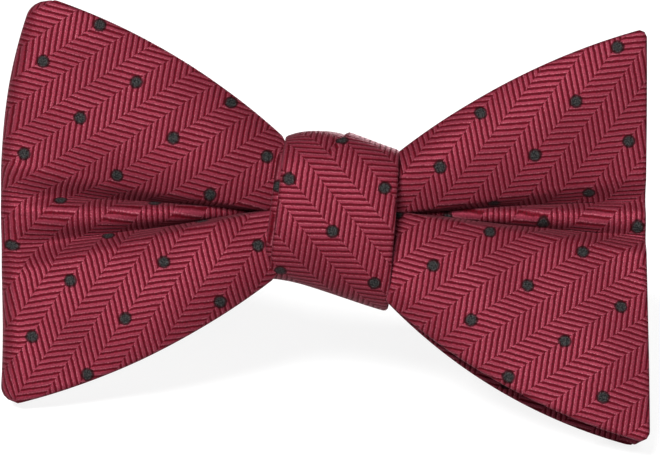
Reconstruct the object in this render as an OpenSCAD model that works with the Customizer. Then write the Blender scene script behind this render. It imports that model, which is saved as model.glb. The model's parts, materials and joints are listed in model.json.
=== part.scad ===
// Adjustable bow tie in patterned silk, free standing.
// It stands on the lower tips of its wings and on its clasp, so the bow leans back a little.
//
// Every piece is drawn as the tie is worn: X to the viewer's right, Y away from the viewer, Z up.
// Y = 0 is the middle of the neckband's cloth where it passes through the knot.
// Round the neck, a place on the band is an angle from the knot, 0 at the front and 180 at the back.

/* [Bow] */
// Left wing, a folded loop: how far its lower corner is from the knot's middle
left_corner_low_x = 57.7; // [52:0.1:62]
// Left wing: distance of the upper corner from the knot's middle
left_corner_high_x = 57.4; // [52:0.1:62]
// Left wing: how far the folded end bulges past a straight line between its corners
left_end_bulge = 3.3; // [0:0.1:6]
// Height of the left wing's upper corner above the band's middle
left_high = 36; // [30:0.1:42]
// Depth of the left wing's lower corner below the band's middle
left_low = 37.2; // [36:0.1:38]
// Right wing, a flared end: distance of the lower corner from the knot's middle
right_corner_low_x = 58.9; // [54:0.1:62]
// Right wing: distance of the upper corner from the knot's middle
right_corner_high_x = 53.4; // [48:0.1:60]
// Height of the right wing's upper corner above the band's middle
right_high = 38.2; // [32:0.1:42]
// Depth of the rear bow's lower corners, the tips that it stands on
rear_low = 37; // [35:0.1:38]
// How much the front right wing stops short of the rear one below it
rear_show = 1.6; // [0:0.1:3]
// Sideways curve of the wings' upper and lower edges
edge_bulge = 3; // [0:0.1:5]
// Thickness of the left loop of the front bow
left_puff = 7; // [4:0.1:9]
// Thickness of the right wing of the front bow
right_puff = 6; // [4:0.1:9]
// Thickness of the rear bow
rear_puff = 3.5; // [2.5:0.1:5]
// Thickness of the interlining sewn into each bow
interlining_t = 0.8; // [0.5:0.1:1.2]

/* [Knot] */
// Width of the knot across the wings
knot_w = 21.6; // [18:0.1:26]
// Top of the knot above the band's middle
knot_top = 15.6; // [13:0.1:18]
// Bottom of the knot below the band's middle
knot_bottom = 14.2; // [12:0.1:17]
// Thickness of the folded wrap
wrap_t = 1.5; // [1:0.1:2.5]
// Half height of the gathered waist inside the knot
waist_half = 8; // [6:0.1:10]
// Thickness of the gathered front waist
waist_t = 3.8; // [3:0.1:5]
// Diameter of the gathering thread
thread_d = 0.5; // [0.3:0.1:0.8]

/* [Neckband] */
// Radius of the neck ring at the middle of the cloth
ring_r = 58; // [52:0.5:64]
// Height of the strap
strap_h = 14; // [10:0.5:16]
// Thickness of the strap
strap_t = 1.4; // [1.2:0.1:1.8]
// Angle round the neck at which each side of the band flexes open
flex_at = 38; // [32:1:50]
// Clearance round the flexing line
flex_gap = 0.3; // [0.2:0.05:0.5]
// Length of the cloth turned back at the eye
turn_back = 13; // [8:1:18]

/* [Clasp] */
// Half height of the eye, hook and slider frames
frame_half = 8.8; // [8.8:0.1:9.6]
// Thickness of the stamped metal
metal_t = 1.2; // [0.8:0.1:1.4]
// Radius of the round bars that carry the cloth
bar_r = 0.8; // [0.6:0.05:0.9]
// Distance of the eye's and the hook's strap bars from the middle of the back
bar_x = 13.5; // [12.5:0.1:15]
// Length of the eye from its strap bar to its far edge
eye_len = 9.4; // [8:0.1:9.8]
// Width of the hook's tongue
tongue_w = 8; // [5:0.5:10]
// Angle round the neck where the slider sits
slider_at = 140; // [135:1:145]
// Width of the slider along the strap
slider_w = 9; // [7:0.5:10]

/* [Hidden] */

$fn = 48;
eps = 0.01;
layer_gap = 0.1;                            // between layers inside the knot
fabric_gap = 0.3;                           // between pieces that move apart
cloth_t = 1;                                // a single turned strap where it wraps a bar
bar_fit = 0.06;                             // between a bar and the cloth round it
wall = 0.4;                                 // cloth each side of the strap's interlining
hem = 0.8;                                  // cloth above and below the strap's interlining

// Layers from the band forwards, each the Y of a face.
strap_front = -strap_t / 2;
thread_back = strap_front - layer_gap;
rear_back = thread_back - thread_d - layer_gap;
rear_front = rear_back - rear_puff;
front_back = rear_front - fabric_gap;
waist_front = front_back - waist_t;
thread_front = waist_front - layer_gap - thread_d;
knot_lining_back = thread_front - 2 * layer_gap;
knot_lining_t = 0.9;
wrap_front = knot_lining_back - knot_lining_t - layer_gap - wrap_t;
strap_sag = ring_r - sqrt(ring_r * ring_r - knot_w * knot_w / 4);   // curve inside the knot
wrap_back = strap_sag + strap_t / 2 + fabric_gap + wrap_t;
lining_mid = front_back - waist_t / 2;      // middle of the front bow's interlining
rear_lining_mid = rear_back - rear_puff / 2;

// Neck ring.
strap_in = ring_r - strap_t / 2;
strap_out = ring_r + strap_t / 2;
bar_at = 180 - asin(bar_x / ring_r);
bar_y = ring_r + sqrt(ring_r * ring_r - bar_x * bar_x);
sleeve_r = bar_r + bar_fit + cloth_t;
end_cover = 3;                              // degrees of cloth past each end of the interlining
slider_bar_r = strap_out + fabric_gap + sleeve_r;   // ring radius of the slider's middle bar
return_in = strap_out + 2 * fabric_gap;
return_out = return_in + cloth_t;
rail_in = strap_h / 2 + fabric_gap;         // inner face of the frames' rails

// Where the wings leave the knot.
root_x = knot_w / 2;
root_high = 13.2;
root_low = 12;
wing_mid = 37;                              // middle of a wing, about which its lining is smaller
lining_scale = 0.84;
pocket_scale = 0.846;
pocket_fit = 0.1;

// Hook tongue.
hook_plate = 7;                             // solid part next to the strap slot
slot_w = 2.6;                               // strap slots
hook_rise = 2.4;                            // height of the turned lip above the plate
hook_reach = 12.6;                          // from the strap bar to the nose
lip_len = 4.2;

// Standing pose: the bow leans back until the wing tips and the clasp touch one level.
clasp_back = bar_y + bar_r;
tip_low = -min([for (p = rear_right()) p[1]]);
lean = atan((tip_low - frame_half) / (clasp_back - rear_back));
floor_drop = tip_low * cos(lean) + rear_back * sin(lean);
left_tip_low = -min([for (p = front_left()) p[1]]);
front_reach = (front_back - left_puff) * cos(lean) - left_tip_low * sin(lean);
back_reach = (bar_y + hook_rise + metal_t / 2) * cos(lean) + tongue_w / 2 * sin(lean);
frame_reach = clasp_back * cos(lean) + frame_half * sin(lean);
centre_y = (front_reach + max(back_reach, frame_reach)) / 2;
centre_x = (right_corner_low_x - left_corner_low_x - left_end_bulge) / 2;

silk = [0.54, 0.19, 0.25];
band_silk = [0.47, 0.14, 0.19];
canvas = [0.88, 0.85, 0.78];
thread_colour = [0.42, 0.1, 0.15];
nickel = [0.78, 0.78, 0.76];

// ---- outlines ----

function mix(a, b, t) = a + (b - a) * t;
function side(a, b) = let (d = b - a) [d[1], -d[0]] / norm(d);

// Points of a curve from a to c that leaves and arrives pointing at b.
function bend(a, b, c, n) =
    [for (i = [0:n]) let (t = i / n) mix(mix(a, b, t), mix(b, c, t), t)];

// A wing from four corners, lower root first, with rounded outer corners and curved edges.
function wing(c, r_low, r_high, bulge) =
    let (
        low_in = mix(c[1], c[0], r_low / norm(c[1] - c[0])),
        low_up = mix(c[1], c[2], r_low / norm(c[2] - c[1])),
        high_down = mix(c[2], c[1], r_high / norm(c[2] - c[1])),
        high_in = mix(c[2], c[3], r_high / norm(c[3] - c[2])),
        lower = (c[0] + low_in) / 2 + 2 * bulge[0] * side(c[0], low_in),
        outer = (low_up + high_down) / 2 + 2 * bulge[1] * side(low_up, high_down),
        upper = (high_in + c[3]) / 2 + 2 * bulge[2] * side(high_in, c[3])
    )
    concat(bend(c[0], lower, low_in, 6), bend(low_in, c[1], low_up, 4),
           bend(low_up, outer, high_down, 8), bend(high_down, c[2], high_in, 4),
           bend(high_in, upper, c[3], 6));

function front_left() =
    wing([[root_x, -root_low], [left_corner_low_x, -left_low], [left_corner_high_x, left_high],
          [root_x, root_high]], 3, 4, [edge_bulge, left_end_bulge, edge_bulge]);
function front_right() =
    wing([[root_x, -root_low], [right_corner_low_x - rear_show / 4, -rear_low + rear_show],
          [right_corner_high_x, right_high], [root_x, root_high]],
         2, 1, [edge_bulge, 0, edge_bulge]);
function rear_right() =
    wing([[root_x, -root_low], [right_corner_low_x, -rear_low],
          [right_corner_high_x - 1, right_high - 2], [root_x, root_high]],
         3, 3, [edge_bulge, 0, edge_bulge / 2]);
function rear_left() =
    wing([[root_x, -root_low], [left_corner_low_x - 1.5, -rear_low],
          [left_corner_high_x - 3, left_high - 3], [root_x, root_high]],
         3, 3, [edge_bulge, 0, edge_bulge / 2]);

// Both wings and the waist between them in one outline, at a scale for what is sewn inside.
function butterfly(left, right, k) =
    let (x = root_x - 3, z = waist_half * k)
    concat([for (p = right) smaller(p, k)],
           [[x, z], [-x, z]],
           [for (i = [len(left) - 1:-1:0]) let (p = smaller(left[i], k)) [-p[0], p[1]]],
           [[-x, -z], [x, -z]]);
function smaller(p, k) = [wing_mid + (p[0] - wing_mid) * k, p[1] * k];

// ---- helpers ----

// An interlining, or with a fit the pocket for it.
module lining_plate(mid, fit)
    plate(mid - interlining_t / 2 - fit, mid + interlining_t / 2 + fit) children();

// From the worn position to the standing position.
module stand()
    translate([-centre_x, -centre_y, floor_drop])
        rotate([-lean, 0, 0])
            children();

// A flat outline in X and Z, given thickness from y0 back to y1.
module plate(y0, y1)
    translate([0, y1, 0])
        rotate([90, 0, 0])
            linear_extrude(y1 - y0) children();

module block(x0, x1, y0, y1, z0, z1)
    translate([x0, y0, z0]) cube([x1 - x0, y1 - y0, z1 - z0]);

// A rectangle in radius and height swept round the neck between two angles.
module ring_arc(r0, r1, half_h, a0, a1)
    translate([0, ring_r, 0])
        rotate([0, 0, a0 - 90])
            rotate_extrude(angle = a1 - a0, $fn = 160)
                translate([r0, -half_h]) square([r1 - r0, 2 * half_h]);

// Puts children, drawn at the front of the ring, at an angle round it.
module at_angle(a)
    translate([0, ring_r, 0])
        rotate([0, 0, a])
            translate([0, -ring_r, 0]) children();

module upright(x, y, r, half_h)
    translate([x, y, -half_h]) cylinder(r = r, h = 2 * half_h);

// ---- bow ----

module front_bow_shell() {
    color(silk)
    difference() {
        union() {
            plate(front_back - left_puff, front_back) mirror([1, 0]) polygon(front_left());
            plate(front_back - right_puff, front_back) polygon(front_right());
            plate(waist_front, front_back) polygon(butterfly(front_left(), front_right(), 1));
        }
        lining_plate(lining_mid, pocket_fit)
            polygon(butterfly(front_left(), front_right(), pocket_scale));
    }
}

module front_bow_interlining()
    color(canvas)
        lining_plate(lining_mid, 0)
            polygon(butterfly(front_left(), front_right(), lining_scale));

module rear_bow_shell() {
    color(silk * 0.9)
    difference() {
        plate(rear_front, rear_back) polygon(butterfly(rear_left(), rear_right(), 1));
        lining_plate(rear_lining_mid, pocket_fit)
            polygon(butterfly(rear_left(), rear_right(), pocket_scale));
    }
}

module rear_bow_interlining()
    color(canvas)
        lining_plate(rear_lining_mid, 0)
            polygon(butterfly(rear_left(), rear_right(), lining_scale));

// Three turns of thread that draw both bows in at the waist.
module waist_thread() {
    turn_pitch = 1.6;
    reach = waist_half + layer_gap;
    color(thread_colour)
    for (turn = [-1:1])
        translate([turn * turn_pitch - thread_d / 2, 0, 0])
            difference() {
                block(0, thread_d, thread_front, thread_back, -reach - thread_d, reach + thread_d);
                block(-eps, thread_d + eps, thread_front + thread_d, thread_back - thread_d,
                      -reach, reach);
            }
}

// ---- knot ----

// The wrap's section seen from the side, a loop with rounded corners.
module loop_section(y0, y1, z0, z1, r)
    for (ends = [[[y0 + r, z0], [y1 - r, z1]], [[y0, z0 + r], [y1, z1 - r]]])
        translate(ends[0]) square(ends[1] - ends[0]);

module rounded_loop(y0, y1, z0, z1, r) {
    loop_section(y0, y1, z0, z1, r);
    for (y = [y0 + r, y1 - r], z = [z0 + r, z1 - r])
        translate([y, z]) circle(r);
}

module along_x(x0, x1)
    translate([x0, 0, 0])
        rotate([90, 0, 90])
            linear_extrude(x1 - x0) children();

module knot_wrap() {
    outer_round = 3.4;
    color(silk * 1.05)
    along_x(-knot_w / 2, knot_w / 2)
        difference() {
            rounded_loop(wrap_front, wrap_back, -knot_bottom, knot_top, outer_round);
            rounded_loop(wrap_front + wrap_t, wrap_back - wrap_t,
                         -knot_bottom + wrap_t, knot_top - wrap_t, outer_round - wrap_t);
        }
}

module knot_interlining() {
    lining_half = 9;
    color(canvas)
    block(-knot_w / 2 + 1.2, knot_w / 2 - 1.2,
          knot_lining_back - knot_lining_t, knot_lining_back, -lining_half, lining_half);
}

// Overcast stitches that close the wrap behind the knot.
module knot_tack_stitches() {
    stitches = 7;
    spacing = 2.4;
    color(thread_colour)
    for (i = [0:stitches - 1])
        translate([(i - (stitches - 1) / 2) * spacing, wrap_back, 0])
            rotate([-90, 0, 0])
                linear_extrude(thread_d)
                    rotate(20) square([thread_d, 4], center = true);
}

// ---- neckband ----

// One flex line, a round edge that turns in a round hollow.
module flex_edge(r) at_angle(flex_at) upright(0, 0, r, strap_h / 2 + eps);

module strap_pocket(a0, a1, fit)
    ring_arc(strap_in + wall - fit, strap_out - wall + fit, strap_h / 2 - hem + fit, a0, a1);

module neckband_front() {
    color(band_silk)
    difference() {
        ring_arc(strap_in, strap_out, strap_h / 2, -flex_at, flex_at);
        strap_pocket(-flex_at + end_cover - 0.2, flex_at - end_cover + 0.2, 0.05);
        flex_edge(strap_t / 2 + flex_gap);
        mirror([1, 0, 0]) flex_edge(strap_t / 2 + flex_gap);
    }
}

module neckband_front_interlining()
    color(canvas) strap_pocket(-flex_at + end_cover, flex_at - end_cover, 0);

// One side of the band: a round edge at the flex line, a sleeve round the bar at the back.
module band_side() {
    difference() {
        union() {
            ring_arc(strap_in, strap_out, strap_h / 2, flex_at, bar_at);
            at_angle(flex_at) upright(0, 0, strap_t / 2, strap_h / 2);
            at_angle(bar_at) upright(0, 0, sleeve_r, strap_h / 2);
            children();
        }
        strap_pocket(flex_at + end_cover - 0.2, bar_at - end_cover + 0.2, 0.05);
        at_angle(bar_at) upright(0, 0, bar_r + bar_fit, strap_h);
    }
}

module side_interlining()
    color(canvas) strap_pocket(flex_at + end_cover, bar_at - end_cover, 0);

function arc_angle(length) = length / ring_r * 180 / PI;

module neckband_left()
    mirror([1, 0, 0]) color(band_silk)
        band_side() ring_arc(strap_out - eps, strap_out + cloth_t, strap_h / 2,
                             bar_at - arc_angle(turn_back), bar_at);

module neckband_left_interlining() mirror([1, 0, 0]) side_interlining();

module neckband_right() color(band_silk) band_side();

module neckband_right_interlining() side_interlining();

// A close row of stitches across the strap, standing on the cloth at radius r.
module bar_tack(r, a) {
    rows = 6;
    row_pitch = 2;
    color(thread_colour)
    for (i = [0:rows - 1])
        translate([0, 0, (i - (rows - 1) / 2) * row_pitch])
            ring_arc(r, r + thread_d, thread_d / 2, a - arc_angle(1.2), a + arc_angle(1.2));
}

module eye_bar_tack()
    mirror([1, 0, 0]) bar_tack(strap_out + cloth_t, bar_at - arc_angle(turn_back - 3));

// ---- clasp ----

// Both rails of a frame, from x0 to x1 outward of its strap bar.
module rails(x0, x1)
    for (z = [-frame_half, rail_in])
        block(x0, x1, -metal_t / 2, metal_t / 2, z, z + frame_half - rail_in);

// The eye, drawn with its strap bar at the origin and pointing to +X.
module eye_plate() {
    cross_w = 1.4;
    rails(-bar_r, eye_len);
    upright(0, 0, bar_r, frame_half);
    for (x = [bar_r + slot_w, eye_len - cross_w])
        block(x, x + cross_w, -metal_t / 2, metal_t / 2, -frame_half, frame_half);
}

module eye() color(nickel) translate([-bar_x, bar_y, 0]) eye_plate();

// The hook, drawn like the eye, with a tongue turned up and back at its nose.
module hook_plate_and_tongue() {
    half = tongue_w / 2;
    nose_r = (hook_rise + metal_t) / 2;
    nose_x = hook_reach - nose_r;
    rails(-bar_r, hook_plate);
    upright(0, 0, bar_r, frame_half);
    block(bar_r + slot_w, hook_plate, -metal_t / 2, metal_t / 2, -frame_half, frame_half);
    block(hook_plate - eps, nose_x, -metal_t / 2, metal_t / 2, -half, half);
    block(nose_x - lip_len, nose_x, hook_rise - metal_t / 2, hook_rise + metal_t / 2, -half, half);
    translate([nose_x, hook_rise / 2, 0])
        intersection() {
            difference() {
                upright(0, 0, nose_r, half);
                upright(0, 0, nose_r - metal_t, half + 1);
            }
            block(0, nose_r, -nose_r, nose_r, -half, half);
        }
}

module hook()
    color(nickel)
        translate([bar_x, bar_y, 0]) mirror([1, 0, 0]) hook_plate_and_tongue();

// The slider, drawn at the front of the ring: side bars inside the strap, middle bar outside it.
module slider() {
    side_y = strap_t / 2 + fabric_gap;
    bar_out = slider_bar_r - ring_r;
    side_w = 1.4;
    web_w = 2.6;
    color(nickel)
    at_angle(slider_at) {
        for (x = [-slider_w / 2, slider_w / 2 - side_w])
            block(x, x + side_w, side_y, side_y + metal_t, -frame_half, frame_half);
        for (z = [-frame_half, rail_in]) {
            block(-slider_w / 2, slider_w / 2, side_y, side_y + metal_t,
                  z, z + frame_half - rail_in);
            block(-web_w / 2, web_w / 2, -bar_out - bar_r, side_y + metal_t,
                  z, z + frame_half - rail_in);
        }
        upright(0, -bar_out, bar_r, frame_half);
    }
}

// The strap's free end, back from the hook's bar to the slider's middle bar.
module strap_return() {
    color(band_silk)
    difference() {
        union() {
            ring_arc(return_in, return_out, strap_h / 2, slider_at, bar_at);
            at_angle(slider_at) upright(0, ring_r - slider_bar_r, sleeve_r, strap_h / 2);
        }
        at_angle(bar_at) upright(0, 0, sleeve_r, strap_h);
        at_angle(slider_at) upright(0, ring_r - slider_bar_r, bar_r + bar_fit, strap_h);
    }
}

module slider_bar_tack() bar_tack(return_out, slider_at + 4);

stand() front_bow_shell();
stand() front_bow_interlining();
stand() rear_bow_shell();
stand() rear_bow_interlining();
stand() waist_thread();
stand() knot_wrap();
stand() knot_interlining();
stand() knot_tack_stitches();
stand() neckband_front();
stand() neckband_front_interlining();
stand() neckband_left();
stand() neckband_left_interlining();
stand() eye_bar_tack();
stand() eye();
stand() neckband_right();
stand() neckband_right_interlining();
stand() hook();
stand() strap_return();
stand() slider();
stand() slider_bar_tack();
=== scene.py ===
"""Looks of the bow tie: silk bows, knot and neckband in dotted herringbone, and a metal clasp.

Lengths in this file are millimetres in the worn frame, as in the CAD source: X to the viewer's right,
Y away from the viewer, Z up, and Y = 0 at the middle of the neckband's cloth under the knot.
place() turns them into metres in the row frame, where the bow leans back as it stands.
"""
import json
import math

import bpy
import numpy as np
from mathutils import Matrix, Vector


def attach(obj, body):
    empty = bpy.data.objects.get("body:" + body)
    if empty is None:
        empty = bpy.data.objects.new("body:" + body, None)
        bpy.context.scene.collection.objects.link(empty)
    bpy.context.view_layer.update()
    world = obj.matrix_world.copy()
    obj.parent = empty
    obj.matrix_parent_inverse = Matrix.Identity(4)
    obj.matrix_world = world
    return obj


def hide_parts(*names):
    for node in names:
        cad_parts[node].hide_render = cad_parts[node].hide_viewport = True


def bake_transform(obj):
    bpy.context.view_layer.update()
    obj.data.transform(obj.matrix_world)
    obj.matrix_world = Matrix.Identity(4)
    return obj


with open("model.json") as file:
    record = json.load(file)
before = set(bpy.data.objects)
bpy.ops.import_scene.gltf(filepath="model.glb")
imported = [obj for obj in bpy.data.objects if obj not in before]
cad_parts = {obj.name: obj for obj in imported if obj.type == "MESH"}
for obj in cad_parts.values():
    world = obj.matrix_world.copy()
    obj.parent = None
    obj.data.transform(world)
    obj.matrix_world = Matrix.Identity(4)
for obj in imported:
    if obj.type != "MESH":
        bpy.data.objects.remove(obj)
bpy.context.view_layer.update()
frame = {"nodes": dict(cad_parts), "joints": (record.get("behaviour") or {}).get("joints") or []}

# ---- the worn frame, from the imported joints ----

joints = {j["name"]: j for j in frame["joints"]}
RING_CENTRE = np.array(joints["slider_travel"]["pos_m"])
UP = np.array(joints["slider_travel"]["axis"])
RIGHT = np.array([1.0, 0.0, 0.0])
BACK = np.cross(UP, RIGHT)
RING_R = 1000 * float(np.linalg.norm(np.array(joints["left_band_flex"]["pos_m"]) - RING_CENTRE))


def place(p):
    """Millimetres in the worn frame to metres in the row frame."""
    p = np.asarray(p, float)
    local = p - np.array([0.0, RING_R, 0.0])
    turned = local[..., :1] * RIGHT + local[..., 1:2] * BACK + local[..., 2:] * UP
    return RING_CENTRE + turned / 1000


# ---- sizes ----

CLOTH = 1.5                 # a blade: two silk faces and the interlining
CANVAS_T = 0.5              # the canvas as drawn inside a blade or the band
STRAP_H = 14.0
STRAP_T = 1.4

DOT_PITCH = 12.0            # the dots lie on a square lattice
RIB_RUN = DOT_PITCH / 9     # from one rib of the weave to the next, measured along a column
RIB_SLOPE = 0.90            # how far a rib runs along its column for each step across it
COLUMN = DOT_PITCH / 3      # width of a herringbone column
COLUMN_START = 4.2          # from a row of dots to the edge of a column whose ribs rise
OUT_OF_STEP = 0.35          # how far the ribs of one column miss those of the next, in ribs
DOT_R = 0.97

KNOT_HALF = 10.9            # from the knot's middle to where a wing comes out of it
LOOP_GAP = CLOTH + 0.3      # between the layers of a flattened loop
REAR_FOLD_R = 0.9           # radius of the fold at the end of the rear loop
WAIST = 0.6                 # height of a wing at the middle of the knot, as a share of its root
ROOT_ROWS = 14              # rows of points between a wing's root and the middle of the knot
FRONT_COLS = 150            # points in each row of a front layer
DEEPEST = 7.0               # how far a valley may reach behind the lobes
ROLL_IN = 2.2               # how far the lobes roll in towards the slit between them
FARTHEST_BACK = -3.9        # the front layers stay clear of the neckband
# Y of the middle of each layer of the wings, from the front back
LAYERS = {"front": -11.3, "blade": -10.3, "front_back": -6.3, "rear": -4.3, "rear_back": -2.4}


# ---- mesh helpers ----

RIM_STEPS = 5               # faces round the rim of a sheet


def smooth(t):
    """0 below 0, 1 above 1, and an even curve between."""
    t = np.clip(t, 0, 1)
    return t * t * (3 - 2 * t)


def unit(v):
    return v / np.maximum(np.linalg.norm(v, axis=-1, keepdims=True), 1e-9)


def add_object(name, data):
    """An object in the scene."""
    made = bpy.data.objects.new(name, data)
    bpy.context.scene.collection.objects.link(made)
    return made


def new_object(name, points, faces, uv):
    """A smooth mesh from points in the worn frame. uv holds one cloth coordinate per point."""
    mesh = bpy.data.meshes.new(name)
    mesh.from_pydata(place(points).tolist(), [], faces)
    layer = mesh.uv_layers.new(name="cloth")
    index = np.zeros(len(mesh.loops), dtype=np.int32)
    mesh.loops.foreach_get("vertex_index", index)
    layer.data.foreach_set("uv", np.asarray(uv, np.float32)[index].ravel())
    mesh.polygons.foreach_set("use_smooth", [True] * len(mesh.polygons))
    mesh.update()
    return add_object(name, mesh)


def run_along(line):
    """How far along a line each of its points is."""
    return np.concatenate([[0], np.cumsum(np.linalg.norm(np.diff(line, axis=0), axis=1))])


def even_line(line, count):
    """Points at even steps along a line, and how far along it each one is."""
    run = run_along(line)
    at = np.linspace(0, run[-1], count)
    return np.column_stack([np.interp(at, run, line[:, k]) for k in range(3)]), at


class Build:
    """Collects several closed shells, with cloth coordinates, into one piece."""

    def __init__(self):
        self.points, self.uv, self.faces, self.count = [], [], [], 0

    def add(self, points, uv, faces):
        self.points.append(np.asarray(points, float).reshape(-1, 3))
        self.uv.append(np.asarray(uv, float).reshape(-1, 2))
        self.faces += [tuple(i + self.count for i in f) for f in faces]
        self.count += len(self.points[-1])

    def done(self, name):
        return new_object(name, np.vstack(self.points), self.faces, np.vstack(self.uv))


def grid_normals(mid):
    """Unit normals of a grid of points, with rows along the first axis."""
    return unit(np.cross(np.gradient(mid, axis=0), np.gradient(mid, axis=1)))


def rim_of_grid(rows, cols):
    """The grid's rim, once round: each point's row and column, and those of its neighbour inside."""
    rim = [(i, 0) for i in range(rows)]
    rim += [(rows - 1, j) for j in range(1, cols - 1)]
    rim += [(i, cols - 1) for i in range(rows - 1, -1, -1)]
    rim += [(0, j) for j in range(cols - 2, 0, -1)]
    i, j = (np.array(c) for c in zip(*rim))
    return i, j, np.clip(i, 1, rows - 2), np.clip(j, 1, cols - 2)


def thick_sheet(build, mid, uv, thickness):
    """A closed shell round a grid of points: two faces and a rounded rim."""
    rows, cols = mid.shape[:2]
    normal = grid_normals(mid)
    half = np.broadcast_to(np.asarray(thickness, float) / 2, (rows, cols))[..., None]
    index = np.arange(rows * cols).reshape(rows, cols)
    faces = []
    for i in range(rows - 1):
        for j in range(cols - 1):
            quad = (index[i, j], index[i + 1, j], index[i + 1, j + 1], index[i, j + 1])
            faces.append(quad)
            faces.append(tuple(q + rows * cols for q in reversed(quad)))
    points = [(mid + normal * half).reshape(-1, 3), (mid - normal * half).reshape(-1, 3)]
    coords = [uv.reshape(-1, 2), uv.reshape(-1, 2)]
    count = 2 * rows * cols
    i, j, inner_i, inner_j = rim_of_grid(rows, cols)
    out = mid[i, j] - mid[inner_i, inner_j]
    size = np.maximum(np.linalg.norm(out, axis=-1, keepdims=True), 1e-9)
    stretch = (uv[i, j] - uv[inner_i, inner_j]) / size
    out = unit(out - normal[i, j] * (out * normal[i, j]).sum(-1, keepdims=True))
    r = half[i, j]
    rings = [index[i, j]]
    for step in range(1, RIM_STEPS):
        angle = math.pi * step / RIM_STEPS
        points.append(mid[i, j] + r * (math.cos(angle) * normal[i, j] + math.sin(angle) * out))
        coords.append(uv[i, j] + stretch * r * math.sin(angle))
        rings.append(np.arange(count, count + len(i)))
        count += len(i)
    rings.append(index[i, j] + rows * cols)
    for a, b in zip(rings[:-1], rings[1:]):
        for k in range(len(i)):
            n = (k + 1) % len(i)
            faces.append((a[k], b[k], b[n], a[n]))
    build.add(np.vstack(points), np.vstack(coords), faces)


# ---- wings ----

def curve(a, b, bulge, t):
    """Points from a to b that bow out sideways, to the right of the way, by bulge at the middle."""
    a, b = np.array(a, float), np.array(b, float)
    way = b - a
    side = np.array([way[1], -way[0]]) / np.hypot(*way)
    t, bulge = np.asarray(t, float)[..., None], np.asarray(bulge, float)[..., None]
    return a + way * t + side * bulge * 4 * t * (1 - t)


def turn(p, angle):
    """Coordinates of p along and across a direction at angle degrees."""
    c, s = math.cos(math.radians(angle)), math.sin(math.radians(angle))
    return np.stack([c * p[..., 0] + s * p[..., 1], -s * p[..., 0] + c * p[..., 1]], -1)


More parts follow.
